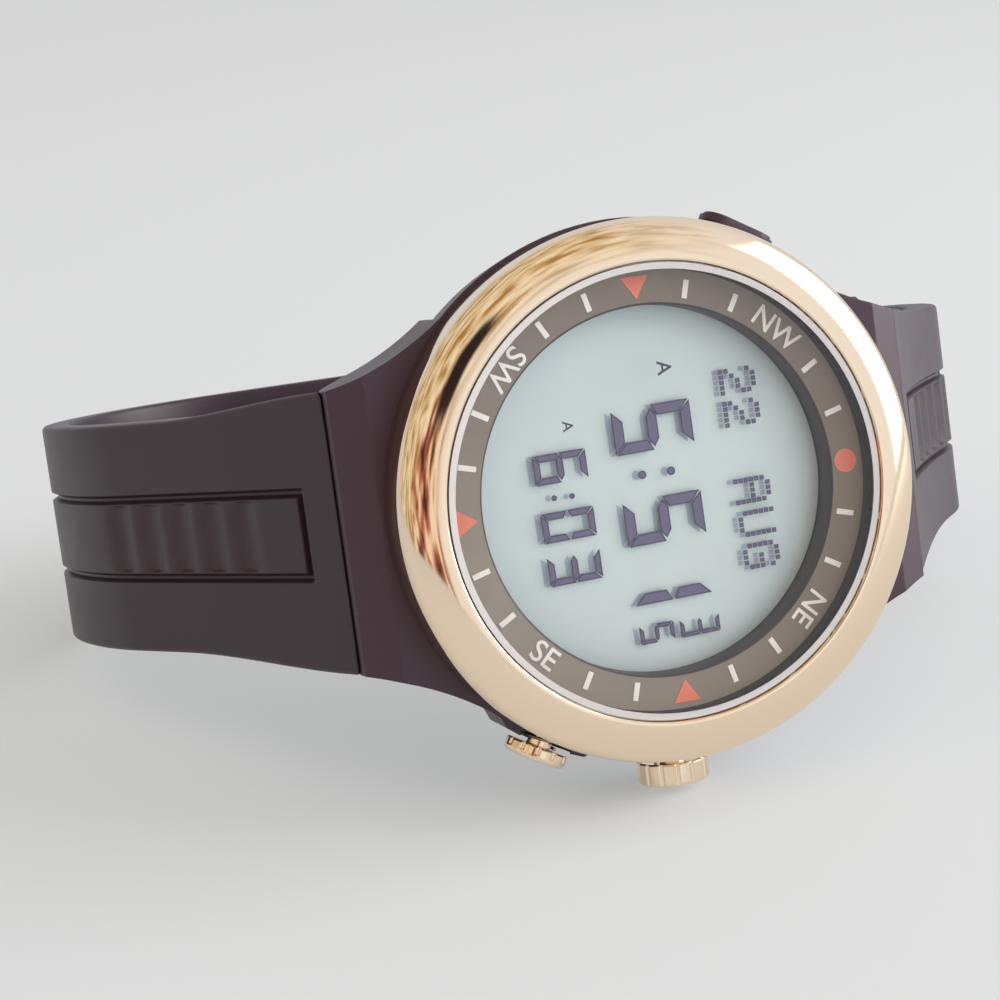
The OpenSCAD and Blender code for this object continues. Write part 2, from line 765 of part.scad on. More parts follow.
// A keeper loop whose opening runs from low to high, measured from the strap's middle
module keeper(low, high) {
    w = strap_w + 0.4;
    rotate([90, 0, 0]) linear_extrude(keeper_len, center = true) difference() {
        translate([0, (low + high) / 2]) round_rect(w + 2 * keeper_t, high - low + 2 * keeper_t, 1);
        translate([-w / 2, low]) square([w, high - low]);
    }
}

module fixed_keeper() {
    half = strap_half_t(fixed_keeper_s);
    color(rubber) stand() at_station(short_path, fixed_keeper_s)
        keeper(keeper_recess - half, half + keeper_room);
}

module free_keeper() {
    half = strap_half_t(free_keeper_s);
    color(rubber) stand() at_station(short_path, free_keeper_s) keeper(-half - 0.3, half + keeper_room);
}

module buckle_pin() {
    arm_in = buckle_w / 2 - arm_w;
    color(steel) stand() at_station(short_path, short_len) rotate([0, 90, 0]) {
        cylinder(h = 2 * arm_in - 0.1, r = pin_r, center = true);
        cylinder(h = 2 * arm_in + 1.6, r = 0.5, center = true);
    }
}

module buckle_frame() {
    arm_in = buckle_w / 2 - arm_w;
    bar_len = 2.2;
    color(gold) stand() at_station(short_path, short_len) difference() {
        union() {
            for (side = [-1, 1])
                translate([side * (arm_in + arm_w / 2), 0, 0]) rotate([0, 90, 0])
                    cylinder(h = arm_w, r = buckle_t / 2 + 0.5, center = true);
            translate([0, 0, -buckle_t / 2]) linear_extrude(buckle_t) difference() {
                translate([0, buckle_len / 2]) round_rect(buckle_w, buckle_len, 1.9);
                translate([-arm_in, -5]) square([2 * arm_in, buckle_len - bar_len + 5]);
                translate([-20, -5]) square([40, 5]);
            }
        }
        rotate([0, 90, 0]) cylinder(h = 2 * arm_in + 1.8, r = 0.55, center = true);
    }
}

module buckle_tongue() {
    rest = buckle_t / 2 + 0.05;
    color(gold) stand() at_station(short_path, short_len) difference() {
        side_solid(tongue_w)
            polygon(concat(arc([0, 0], 1.55, 90, 270, 10),
                           [[1.5, -0.9], [buckle_len - 4, rest], [buckle_len + 0.8, rest],
                            [buckle_len + 1, rest + 0.5], [buckle_len + 0.4, rest + 0.9],
                            [buckle_len - 4.5, rest + 1.1], [2, 1.4]]));
        rotate([0, 90, 0]) cylinder(h = 20, r = pin_r + stem_gap, center = true);
    }
}

case_body();
bezel_ring();
crystal();
crystal_gasket();
compass_ring();
ring_marks();
ring_pointers();
lcd_panel();
light_panel();
module_frame();
contact_strips();
circuit_board();
switch_leaves();
battery();
battery_clip();
buzzer_disc();
buzzer_spring();
case_back();
case_back_gasket();
case_back_screws();
button_seals();
button_3();
button_3_clip();
button_3_spring();
button_4();
button_4_clip();
button_4_spring();
button_10();
button_10_clip();
button_10_spring();
spring_bar_6();
spring_bar_12();
strap_long();
strap_short();
fixed_keeper();
free_keeper();
buckle_pin();
buckle_frame();
buckle_tongue();
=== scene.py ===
# Digital compass sports watch, standing on its 3 o'clock side with its strap curled behind it.
# Each new piece is modelled in the watch's own frame, X to 3 o'clock, Y to 12 o'clock and Z out of the
# dial, with Z = 0 at the face of the compass ring, and is then stood up into the frame of the CAD parts.

import math

import bmesh
import bpy
from mathutils import Matrix, Vector


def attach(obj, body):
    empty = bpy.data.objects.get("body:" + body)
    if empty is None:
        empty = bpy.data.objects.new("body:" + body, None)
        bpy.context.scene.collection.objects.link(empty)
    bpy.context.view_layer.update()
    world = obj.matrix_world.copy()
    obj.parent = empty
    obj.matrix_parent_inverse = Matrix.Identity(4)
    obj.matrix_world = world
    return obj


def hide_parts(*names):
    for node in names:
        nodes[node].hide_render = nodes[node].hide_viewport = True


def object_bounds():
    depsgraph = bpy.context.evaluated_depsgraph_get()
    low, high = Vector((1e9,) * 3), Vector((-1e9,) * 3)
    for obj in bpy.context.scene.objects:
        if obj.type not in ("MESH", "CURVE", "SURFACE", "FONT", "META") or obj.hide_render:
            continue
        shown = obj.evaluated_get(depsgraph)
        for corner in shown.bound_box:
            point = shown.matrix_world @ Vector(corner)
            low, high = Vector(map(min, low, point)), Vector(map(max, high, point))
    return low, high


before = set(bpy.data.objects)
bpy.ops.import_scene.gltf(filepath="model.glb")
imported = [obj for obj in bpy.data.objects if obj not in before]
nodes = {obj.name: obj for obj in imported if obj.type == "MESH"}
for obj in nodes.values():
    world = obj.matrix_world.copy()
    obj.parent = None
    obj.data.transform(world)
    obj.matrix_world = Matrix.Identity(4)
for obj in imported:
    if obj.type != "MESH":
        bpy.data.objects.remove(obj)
cad_low, cad_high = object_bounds()

# Studio floor
# A sheet of matt white board, which the watch stands on and which runs on behind it. It is the stage and
# no part of the watch. To the camera and in the polished metal it shows a plain pale grey, which fills the
# shadows on it in part and throws no light on the watch.


def linear(hex_colour):
    """An sRGB hex colour as linear red, green, blue and alpha"""
    channels = [int(hex_colour[i : i + 2], 16) / 255 for i in (1, 3, 5)]
    return [c / 12.92 if c <= 0.04045 else ((c + 0.055) / 1.055) ** 2.4 for c in channels] + [1]


def new_material(name):
    material = bpy.data.materials.new(name)
    material.use_nodes = True
    material.node_tree.nodes.clear()
    return material


def add(tree, kind, sockets=None, **settings):
    """Adds a shader node. A socket takes a value, or the output socket that is linked to it."""
    node = tree.nodes.new(kind)
    for key, value in settings.items():
        setattr(node, key, value)
    for key, value in (sockets or {}).items():
        if isinstance(value, bpy.types.NodeSocket):
            tree.links.new(value, node.inputs[key])
        else:
            node.inputs[key].default_value = value
    return node


def finish_with(material, shader):
    add(material.node_tree, "ShaderNodeOutputMaterial", {"Surface": shader.outputs[0]})
    return material


def only(piece):
    """Selects one piece and makes it active"""
    bpy.ops.object.select_all(action="DESELECT")
    piece.select_set(True)
    bpy.context.view_layer.objects.active = piece


def wear(piece, *materials):
    """Gives a piece its materials in place of any that it has"""
    piece.data.materials.clear()
    for material in materials:
        piece.data.materials.append(material)


mm = 0.001
FLOOR_SIDE, FLOOR_MIDDLE = 12, (0, 3, cad_low.z)
FLOOR_COLOUR, FLOOR_SHOWN = "#dce2eb", "#dcdedd"
SHADOW_FILL = 0.4

bpy.ops.object.select_all(action="DESELECT")
bpy.ops.mesh.primitive_plane_add(size=FLOOR_SIDE, location=FLOOR_MIDDLE)
floor = bpy.context.object
floor.name = "floor"
board = new_material("matt white board")
tree = board.node_tree
matt = add(tree, "ShaderNodeBsdfDiffuse", {"Color": linear(FLOOR_COLOUR)})
plain = add(tree, "ShaderNodeEmission", {"Color": linear(FLOOR_SHOWN), "Strength": 1})
ray = add(tree, "ShaderNodeLightPath").outputs
straight = {0: ray["Is Camera Ray"], 1: ray["Is Transmission Ray"]}
direct = add(tree, "ShaderNodeMath", straight, operation="MAXIMUM")
seen = add(tree, "ShaderNodeMath", {0: direct.outputs[0], 1: ray["Is Glossy Ray"]}, operation="MAXIMUM")
share = add(tree, "ShaderNodeMath", {0: seen.outputs[0], 1: SHADOW_FILL}, operation="MULTIPLY")
shown = add(tree, "ShaderNodeMixShader", {0: share.outputs[0], 1: matt.outputs[0], 2: plain.outputs[0]})
finish_with(board, shown)
wear(floor, board)

# Studio light
# A white room whose left side is warm wood, with a dark stand behind the camera. A tall window on the right
# is the key light, a low one beside it lights the far side of the bezel, and a broad soft box fills in.

world = bpy.data.worlds.new("white room")
bpy.context.scene.world = world
world.use_nodes = True
tree = world.node_tree
tree.nodes.clear()
way = add(tree, "ShaderNodeTexCoord").outputs["Generated"]
uneven = add(tree, "ShaderNodeTexNoise", {"Vector": way, "Scale": 2.6, "Detail": 3}).outputs["Fac"]
veins = add(tree, "ShaderNodeTexNoise", {"Vector": way, "Scale": 9, "Detail": 4}).outputs["Fac"]
RIM_WANDER = 0.5
FRONT_LEVEL, BACK_LEVEL = 1.12, 0.8


def timber(*stops):
    """The colours of a figured board, from its dark veins to its pale ground"""
    tones = add(tree, "ShaderNodeValToRGB", {"Fac": veins})
    marks = tones.color_ramp.elements
    while len(marks) < len(stops):
        marks.new(0.5)
    for mark, (place, colour) in zip(marks, stops):
        mark.position = place
        mark.color = linear(colour)
    return tones.outputs[0]


def patch(direction, inner, outer):
    """How far a direction of the room lies inside a round patch with an uneven rim, from 0 to 1"""
    apart = add(tree, "ShaderNodeVectorMath", {0: way, 1: direction}, operation="DISTANCE").outputs["Value"]
    wander = add(tree, "ShaderNodeMath", {0: uneven, 1: RIM_WANDER, 2: apart}, operation="MULTIPLY_ADD")
    fade = {
        "Value": wander.outputs[0],
        "From Min": inner + RIM_WANDER / 2,
        "From Max": outer + RIM_WANDER / 2,
        "To Min": 1,
        "To Max": 0,
    }
    return add(tree, "ShaderNodeMapRange", fade, interpolation_type="SMOOTHSTEP").outputs[0]


pale_wood = timber((0.38, "#a9814c"), (0.46, "#d0bf96"), (0.6, "#f4ecdc"))
red_wood = timber((0.36, "#30262b"), (0.46, "#a55d4e"), (0.52, "#c99a78"), (0.58, "#f0e2d4"))
walls = linear("#f0f4fa")
for colour, share in (
    (pale_wood, patch((-0.6, -0.3, 0.74), 0.76, 1.3)),
    (red_wood, patch((-0.4, -0.9, 0.2), 0.3, 0.42)),
    (linear("#2e2426"), patch((-0.16, -0.84, 0.52), 0.14, 0.24)),
):
    walls = add(tree, "ShaderNodeMix", {0: share, 6: walls, 7: colour}, data_type="RGBA").outputs[2]
depth = add(tree, "ShaderNodeSeparateXYZ", {"Vector": way}).outputs["Y"]
level = add(
    tree,
    "ShaderNodeMapRange",
    {"Value": depth, "From Min": -1, "From Max": 1, "To Min": FRONT_LEVEL, "To Max": BACK_LEVEL},
)
sky = add(tree, "ShaderNodeBackground", {"Color": walls, "Strength": level.outputs[0]})
add(tree, "ShaderNodeOutputWorld", {"Surface": sky.outputs[0]})


def soft_box(name, place, aim, size, power, colour):
    """A rectangular lamp at a place, facing what it aims at, with a size in metres and a power in watts"""
    bpy.ops.object.light_add(type="AREA", location=place)
    lamp = bpy.context.object
    lamp.name = name
    lamp.data.shape = "RECTANGLE"
    lamp.data.size, lamp.data.size_y = size
    lamp.data.energy = power
    lamp.data.color = linear(colour)[:3]
    lamp.rotation_euler = (Vector(aim) - Vector(place)).to_track_quat("-Z", "Y").to_euler()
    return lamp


soft_box("window", (3, -0.7, 1.3), (0, 0, 0), (2.8, 2.4), 22, "#fffcf2")
soft_box("low window", (0.56, -0.14, 0.17), (0.03, 0, 0), (0.5, 0.34), 2.2, "#fffaf0")
fill = soft_box("front soft box", (1.25, -2.1, 1.9), (0, 0, 0), (3.2, 1.4), 26, "#fbfbff")
fill.visible_glossy = False

# Camera
# It stands where the photograph was taken from, with the same field of view. Both were solved from the
# circles of the bezel and the dial.

bpy.ops.object.camera_add(
    location=(-71.67 * mm, -200.07 * mm, 69.46 * mm),
    rotation=[math.radians(a) for a in (71.626, 3.684, -17.927)],
)
camera = bpy.context.object
camera.data.sensor_width = 36
camera.data.lens = 83.08
camera.data.clip_start = 0.01
camera.data.clip_end = 50
scene = bpy.context.scene
scene.camera = camera
scene.view_settings.view_transform = "Standard"

# Case body
# One moulding of filled polyurethane, with the lugs and the guards beside the buttons. It comes from the
# mould with a fine satin grain, and its edges are slightly rounded.

CLOUD_SIZE = 6 * mm
GRAIN_SIZE, GRAIN_DEPTH = 0.25 * mm, 0.02 * mm


def shade(colour, factor):
    """A hex colour made darker or lighter by a factor"""
    return [min(1, c * factor) for c in linear(colour)[:3]] + [1]


def satin_resin(name, colour, edge_radius):
    """Polyurethane moulded in a fine-sparked tool: a dull sheen, a fine grain and faint mottling"""
    material = new_material(name)
    tree = material.node_tree
    place = add(tree, "ShaderNodeTexCoord").outputs["Object"]
    cloud = add(tree, "ShaderNodeTexNoise", {"Vector": place, "Scale": 1 / CLOUD_SIZE, "Detail": 3})
    shades = {0: cloud.outputs["Fac"], 6: shade(colour, 0.86), 7: shade(colour, 1.12)}
    tint = add(tree, "ShaderNodeMix", shades, data_type="RGBA")
    shine = add(tree, "ShaderNodeMapRange", {"Value": cloud.outputs["Fac"], "To Min": 0.36, "To Max": 0.48})
    # The real grain is about 0.05 mm across. It is drawn coarser, so that it shows.
    grain = add(tree, "ShaderNodeTexNoise", {"Vector": place, "Scale": 1 / GRAIN_SIZE, "Detail": 2})
    edges = add(tree, "ShaderNodeBevel", {"Radius": edge_radius}, samples=6)
    relief = {
        "Height": grain.outputs["Fac"],
        "Strength": 0.25,
        "Distance": GRAIN_DEPTH,
        "Normal": edges.outputs[0],
    }
    bump = add(tree, "ShaderNodeBump", relief)
    surface = add(
        tree,
        "ShaderNodeBsdfPrincipled",
        {"Base Color": tint.outputs[2], "Roughness": shine.outputs[0], "IOR": 1.5, "Normal": bump.outputs[0]},
    )
    return finish_with(material, surface)


case_resin = satin_resin("satin polyurethane, case", "#3f2c3c", 0.3 * mm)
wear(nodes["case_body"], case_resin)
wear(nodes["button_10"], case_resin)

# Bezel ring
# Turned from steel bar, polished to a mirror and plated rose gold. Its section is a low flat crown that
# rolls over a tight shoulder into the straight side.

POLISH_SIZE = 0.4 * mm


def rose_gold(name, edge_radius=0):
    """Ion plated steel, polished: a clean, warm mirror whose polish is faintly uneven, and rounded corners"""
    material = new_material(name)
    tree = material.node_tree
    place = add(tree, "ShaderNodeTexCoord").outputs["Object"]
    polish = add(tree, "ShaderNodeTexNoise", {"Vector": place, "Scale": 1 / POLISH_SIZE, "Detail": 4})
    shine = add(tree, "ShaderNodeMapRange", {"Value": polish.outputs["Fac"], "To Min": 0.05, "To Max": 0.1})
    sockets = {"Base Color": linear("#f6dfc4"), "Metallic": 1, "Roughness": shine.outputs[0]}
    if edge_radius:
        sockets["Normal"] = add(tree, "ShaderNodeBevel", {"Radius": edge_radius}, samples=6).outputs[0]
    surface = add(tree, "ShaderNodeBsdfPrincipled", sockets)
    return finish_with(material, surface)


def arc(centre, radius, first, last, steps):
    """Points along an arc, from its first angle to its last, in degrees"""
    angles = [math.radians(first + (last - first) * i / steps) for i in range(steps + 1)]
    return [(centre[0] + radius * math.cos(a), centre[1] + radius * math.sin(a)) for a in angles]


def outline(name, corners, fill="NOTHING"):
    """A flat outline in the XY plane: a circle with a vertex for each corner, drawn out to them, in mm"""
    bpy.ops.object.select_all(action="DESELECT")
    bpy.ops.mesh.primitive_circle_add(vertices=len(corners), radius=mm, fill_type=fill)
    piece = bpy.context.object
    piece.name = name
    piece.data.name = name
    for vertex, corner in zip(piece.data.vertices, corners):
        vertex.co = (corner[0] * mm, corner[1] * mm, 0)
    return piece


def edit(piece, test=None, kind="verts"):
    """Opens a piece in edit mode, with all of it selected or the faces or edges that pass a test

    The test is on an element's middle, in mm.
    """
    only(piece)
    bpy.ops.object.mode_set(mode="EDIT")
    bpy.ops.mesh.select_mode(type={"verts": "VERT", "edges": "EDGE", "faces": "FACE"}[kind])
    bpy.ops.mesh.select_all(action="DESELECT" if test else "SELECT")
    if test:
        mesh = bmesh.from_edit_mesh(piece.data)
        for element in getattr(mesh, kind):
            middle = sum((vertex.co for vertex in element.verts), Vector()) / len(element.verts)
            element.select_set(test(middle / mm))
        mesh.select_flush_mode()
        bmesh.update_edit_mesh(piece.data)


def close_edit():
    bpy.ops.object.mode_set(mode="OBJECT")


def smooth(piece, angle=35):
    """Shades a piece smooth, apart from the edges that turn by more than an angle in degrees"""
    only(piece)
    bpy.ops.object.shade_smooth_by_angle(angle=math.radians(angle))


# The middle of the case back's outer face is the frame's origin, and the case leans back from upright.
LEAN = math.radians(13.2)
BACK = -12.8 * mm
STAND = Matrix(
    (
        (0, 1, 0, 0),
        (-math.sin(LEAN), 0, -math.cos(LEAN), math.cos(LEAN) * BACK),
        (-math.cos(LEAN), 0, math.sin(LEAN), -math.sin(LEAN) * BACK),
        (0, 0, 0, 1),
    )
)


def stand(piece):
    """Stands a piece up on the watch's 3 o'clock side, with its place in its mesh"""
    piece.matrix_world = STAND @ piece.matrix_world
    only(piece)
    bpy.ops.object.transform_apply(location=True, rotation=True, scale=True)


ROUND_SIDES = 192


def turned(name, section):
    """Turns a closed section, as radius and height in mm, round the watch's Z axis"""
    piece = outline(name, section)
    piece.rotation_euler = (math.pi / 2, 0, 0)
    only(piece)
    bpy.ops.object.transform_apply(location=False, rotation=True, scale=False)
    edit(piece)
    bpy.ops.mesh.spin(steps=ROUND_SIDES, angle=2 * math.pi, center=(0, 0, 0), axis=(0, 0, 1))
    bpy.ops.mesh.select_all(action="SELECT")
    bpy.ops.mesh.remove_doubles(threshold=0.001 * mm)
    bpy.ops.mesh.normals_make_consistent(inside=False)
    close_edit()
    return piece


def rod(radius, length, place, lie, sides=32):
    """A round rod about a place in mm, turned from the Z axis by angles in radians"""
    bpy.ops.object.select_all(action="DESELECT")
    bpy.ops.mesh.primitive_cylinder_add(
        vertices=sides,
        radius=radius * mm,
        depth=length * mm,
        location=[c * mm for c in place],
        rotation=lie,
    )
    return bpy.context.object


bezel_gold = rose_gold("polished rose gold plate, bezel")
BEZEL_R, BEZEL_BORE, BEZEL_SEAT = 25, 20.9, 22.9
BEZEL_FOOT, SEAT_TOP = -4.4, 1.7
SHOULDER_R, SHOULDER_ROLL = 1.8, 60
shoulder = (BEZEL_R - SHOULDER_R, 0.2)
crown_back = (shoulder[0] - BEZEL_BORE) / math.cos(math.radians(SHOULDER_ROLL))
crown = (BEZEL_BORE, shoulder[1] - crown_back * math.sin(math.radians(SHOULDER_ROLL)))
crown_r = crown_back + SHOULDER_R
bezel_top = crown[1] + crown_r
bezel = turned(
    "bezel",
    [(BEZEL_SEAT, BEZEL_FOOT), (BEZEL_R - 0.25, BEZEL_FOOT), (BEZEL_R - 0.07, BEZEL_FOOT + 0.07)]
    + [(BEZEL_R, BEZEL_FOOT + 0.25)]
    + arc(shoulder, SHOULDER_R, 0, SHOULDER_ROLL, 14)
    + arc(crown, crown_r, SHOULDER_ROLL + 2, 88, 12)
    + [(BEZEL_BORE + 0.15, bezel_top - 0.02), (BEZEL_BORE + 0.04, bezel_top - 0.1)]
    + [(BEZEL_BORE, bezel_top - 0.25), (BEZEL_BORE, SEAT_TOP), (BEZEL_SEAT, SEAT_TOP)],
)
wear(bezel, bezel_gold)
smooth(bezel)
stand(bezel)
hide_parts("bezel_ring")
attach(bezel, "case")

# Crystal and its gasket
# A disc of mineral glass, ground flat on both faces and pressed into a white nylon gasket. Its rim is
# polished and clear, and the white that it takes up from the gasket is painted on it as a painted reflection.


def clear_glass(name, ior=1.5):
    """Thin mineral glass seen from straight on: it adds a reflection and hardly bends what is behind it"""
    material = new_material(name)
    tree = material.node_tree
    through = add(tree, "ShaderNodeBsdfTransparent", {"Color": linear("#fefefe")})
    gloss = add(tree, "ShaderNodeBsdfGlossy", {"Color": linear("#ffffff"), "Roughness": 0.02})
    edge_on = add(tree, "ShaderNodeFresnel", {"IOR": ior})
    inside = add(tree, "ShaderNodeNewGeometry").outputs["Backfacing"]
    outside = add(tree, "ShaderNodeMath", {0: 1.0, 1: inside}, operation="SUBTRACT")
    sheen = add(tree, "ShaderNodeMath", {0: edge_on.outputs[0], 1: outside.outputs[0]}, operation="MULTIPLY")
    layers = {0: sheen.outputs[0], 1: through.outputs[0], 2: gloss.outputs[0]}
    return finish_with(material, add(tree, "ShaderNodeMixShader", layers))


def painted_reflection_glass(name):
    """The glass's rim and side, with the light of the white gasket behind them painted on as a milky painted
    reflection
    """
    material = new_material(name)
    tree = material.node_tree
    through = add(tree, "ShaderNodeBsdfTransparent", {"Color": linear("#e8e6ea")})
    painted_white_look = {"Base Color": linear("#e4e2e4"), "Roughness": 0.12, "IOR": 1.5}
    painted_white = add(tree, "ShaderNodeBsdfPrincipled", painted_white_look)
    facing = add(tree, "ShaderNodeLayerWeight", {"Blend": 0.5}).outputs["Facing"]
    share = add(
        tree,
        "ShaderNodeMapRange",
        {"Value": facing, "From Min": 0.04, "From Max": 0.3, "To Min": 0.85, "To Max": 0.12},
    )
    layers = {0: share.outputs[0], 1: through.outputs[0], 2: painted_white.outputs[0]}
    return finish_with(material, add(tree, "ShaderNodeMixShader", layers))


FLAT = (0, 0, 0)
CRYSTAL_R, CRYSTAL_RIM = 20.75, 0.6
CRYSTAL_FOOT, CRYSTAL_TOP = 1.1, 2.5
crystal_middle = (0, 0, (CRYSTAL_FOOT + CRYSTAL_TOP) / 2)
crystal = rod(CRYSTAL_R, CRYSTAL_TOP - CRYSTAL_FOOT, crystal_middle, FLAT, ROUND_SIDES)
crystal.name = "crystal_disc"
only(crystal)
bpy.ops.object.transform_apply(location=True, rotation=False, scale=False)
wear(crystal, clear_glass("mineral glass, crystal"), painted_reflection_glass("painted gasket reflection, crystal edge"))
edit(crystal, lambda middle: middle.z > CRYSTAL_TOP - 0.1, "faces")
bpy.ops.mesh.inset(thickness=CRYSTAL_RIM * mm)
close_edit()
# The rim and side take the second slot, the painted reflection of the white gasket.
edit(crystal, lambda middle: middle.xy.length > CRYSTAL_R - CRYSTAL_RIM, "faces")
crystal.active_material_index = 1
bpy.ops.object.material_slot_assign()
close_edit()
smooth(crystal, 25)
stand(crystal)
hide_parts("crystal")
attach(crystal, "case")


def plain_moulding(name, colour, roughness, cloud_size=1.5 * mm, metal=0):
    """Moulded or painted plastic with a faint change of tone and of shine over it, and any metal flake"""
    material = new_material(name)
    tree = material.node_tree
    place = add(tree, "ShaderNodeTexCoord").outputs["Object"]
    cloud = add(tree, "ShaderNodeTexNoise", {"Vector": place, "Scale": 1 / cloud_size, "Detail": 3})
    shades = {0: cloud.outputs["Fac"], 6: shade(colour, 0.93), 7: shade(colour, 1.06)}
    tint = add(tree, "ShaderNodeMix", shades, data_type="RGBA")
    gloss = {"Value": cloud.outputs["Fac"], "To Min": roughness - 0.05, "To Max": roughness + 0.05}
    shine = add(tree, "ShaderNodeMapRange", gloss)
    surface = add(
        tree,
        "ShaderNodeBsdfPrincipled",
        {"Base Color": tint.outputs[2], "Roughness": shine.outputs[0], "IOR": 1.5, "Metallic": metal},
    )
    return finish_with(material, surface)


wear(nodes["crystal_gasket"], plain_moulding("white nylon, gasket", "#d9d8d4", 0.45))

# Compass ring
# A moulded ring, lacquered warm grey on its face, with a rim that carries the crystal. Its walls and rim
# are coloured dark as painted shade, for the shadow down the deep window round the display.
# Its letters, ticks, north dot and pointers are pad printed in white and coral.

WINDOW_R, WINDOW_WALL, WINDOW_FOOT = 17, 0.8, -2.9
FACE_R, RIM_R, RIM_TOP, RIM_FOOT = 20.3, 20.75, 1.1, -0.8
ring_lacquer = plain_moulding("warm grey metallic lacquer, compass ring", "#82786e", 0.36, 3 * mm, 0.3)
# Painted shade: all of the ring but its face is coloured dark, in place of the shadow in the window.
wall_painted_shade = plain_moulding("painted shade, compass ring's walls", "#352a30", 0.45, 3 * mm)
ring = turned(
    "compass_dial_ring",
    [(WINDOW_R, WINDOW_FOOT), (WINDOW_R, -0.2), (WINDOW_R + 0.05, -0.08), (WINDOW_R + 0.2, 0)]
    + [(FACE_R - 0.05, 0), (FACE_R, 0.03), (FACE_R, RIM_TOP), (RIM_R, RIM_TOP), (RIM_R, RIM_FOOT)]
    + [(WINDOW_R + WINDOW_WALL, RIM_FOOT), (WINDOW_R + WINDOW_WALL, WINDOW_FOOT)],
)
wear(ring, ring_lacquer, wall_painted_shade)
edit(ring, lambda middle: abs(middle.z) > 0.01, "faces")
ring.active_material_index = 1
bpy.ops.object.material_slot_assign()
close_edit()
smooth(ring)
stand(ring)
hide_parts("compass_ring")
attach(ring, "case")

print_white = plain_moulding("white pad print", "#f0eeea", 0.5)
print_coral = plain_moulding("coral pad print", "#e57f68", 0.5)
wear(nodes["ring_marks"], print_white)
wear(nodes["ring_pointers"], print_coral)


def join(name, parts):
    bpy.ops.object.select_all(action="DESELECT")
    for part in parts:
        part.select_set(True)
    bpy.context.view_layer.objects.active = parts[0]
    bpy.ops.object.join()
    parts[0].name = name
    parts[0].data.name = name
    return parts[0]


CAPITAL_SHARE, BOLDER = 0.69, 0.012
LETTERS_R, LETTERS_HEIGHT, LETTERS_INK = 18.55, 1.95, 0.05


def lettering(name, words, place, height, turn, ink):
    """Raised print: words centred at a place in mm, with capitals of a height in mm, turned in degrees"""
    bpy.ops.object.select_all(action="DESELECT")
    bpy.ops.object.text_add(location=[c * mm for c in place], rotation=(0, 0, math.radians(turn)))
    text = bpy.context.object
    text.name = name
    text.data.body = words
    text.data.align_x = "CENTER"
    text.data.align_y = "CENTER"
    text.data.size = height * mm / CAPITAL_SHARE
    text.data.extrude = ink * mm / 2
    text.data.offset = BOLDER * height * mm
    only(text)
    bpy.ops.object.convert(target="MESH")
    return bpy.context.object


corner_letters = []
for words, angle in (("NE", 45), ("NW", 135), ("SW", 225), ("SE", 315)):
    x = LETTERS_R * math.cos(math.radians(angle))
    y = LETTERS_R * math.sin(math.radians(angle))
    upright = angle - 90 if angle < 180 else angle + 90
    place = (x, y, LETTERS_INK / 2)
    corner_letters.append(lettering("letters", words, place, LETTERS_HEIGHT, upright, LETTERS_INK))
letters = join("compass_letters", corner_letters)
wear(letters, print_white)
stand(letters)
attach(letters, "case")

# Display
# A liquid crystal panel: a pale silvered reflector behind, a sheet of glass over it, and the dark
# segments and dots on that. Their shadow on the reflector is a painted shadow, a pale copy set off to one
# side.

PANEL_R, PANEL_THICK, PANEL_TOP = 18.25, 1.7, -3.03
CELL_R, CELL_FOOT, CELL_TOP = 16.95, -2.99, -2.46
DISPLAY_SIDES = 128

panel = rod(PANEL_R, PANEL_THICK, (0, 0, PANEL_TOP - PANEL_THICK / 2), FLAT, DISPLAY_SIDES)
panel.name = "display_panel"
wear(panel, plain_moulding("silvered film, display", "#e2f3f6", 0.5, 9 * mm, 0.3))
smooth(panel)
stand(panel)
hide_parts("lcd_panel")
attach(panel, "case")
cell = rod(CELL_R, CELL_TOP - CELL_FOOT, (0, 0, (CELL_TOP + CELL_FOOT) / 2), FLAT, DISPLAY_SIDES)
cell.name = "display_glass"
wear(cell, clear_glass("display glass, bonded", 1.12))
smooth(cell)
stand(cell)
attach(cell, "case")

segment_edge = plain_moulding("liquid crystal, segment edge", "#37304a", 0.4)
segment_fill = plain_moulding("liquid crystal, segment fill", "#625d80", 0.4)
# Painted shadow: the colour of the segments' shadow, laid on the reflector as a flat copy of them.
painted_shadow_tone = plain_moulding("painted segment shadow on the reflector", "#b4c8e0", 0.6)


def segment(a, b, width, cut_a, cut_b):
    """A digit's bar with its outer edge from a to b, clockwise, and both ends of its inner edge cut back"""
    (ax, ay), (bx, by) = a, b
    length = math.hypot(bx - ax, by - ay)
    along = ((bx - ax) / length, (by - ay) / length)
    inward = (along[1], -along[0])
    return [
        (ax, ay),
        (bx, by),
        (bx - along[0] * cut_b + inward[0] * width, by - along[1] * cut_b + inward[1] * width),
        (ax + along[0] * cut_a + inward[0] * width, ay + along[1] * cut_a + inward[1] * width),
    ]


def digit_bars(figure, x, y, w, h, bar):
    """The lit bars of a seven segment digit centred at x, y, as corner lists"""
    lit = {"0": "abcdef", "1": "bc", "3": "abcdg", "5": "acdfg", "6": "acdefg"}[figure]
    left, right, low, high = x - w / 2, x + w / 2, y - h / 2, y + h / 2
    gap = 0.09 * bar
    half = bar / 2
    point = gap + 0.4 * half
    shapes = {
        "a": segment((left + gap, high), (right - gap, high), bar, bar, bar),
        "b": segment((right, high - gap), (right, y + gap), bar, bar, half),
        "c": segment((right, y - gap), (right, low + gap), bar, half, bar),
        "d": segment((right - gap, low), (left + gap, low), bar, bar, bar),
        "e": segment((left, low + gap), (left, y - gap), bar, bar, half),
        "f": segment((left, y + gap), (left, high - gap), bar, half, bar),
        "g": [
            (left + point, y),
            (left + bar, y + half),
            (right - bar, y + half),
            (right - point, y),
            (right - bar, y - half),
            (left + bar, y - half),
        ],
    }
    return [shapes[name] for name in lit]


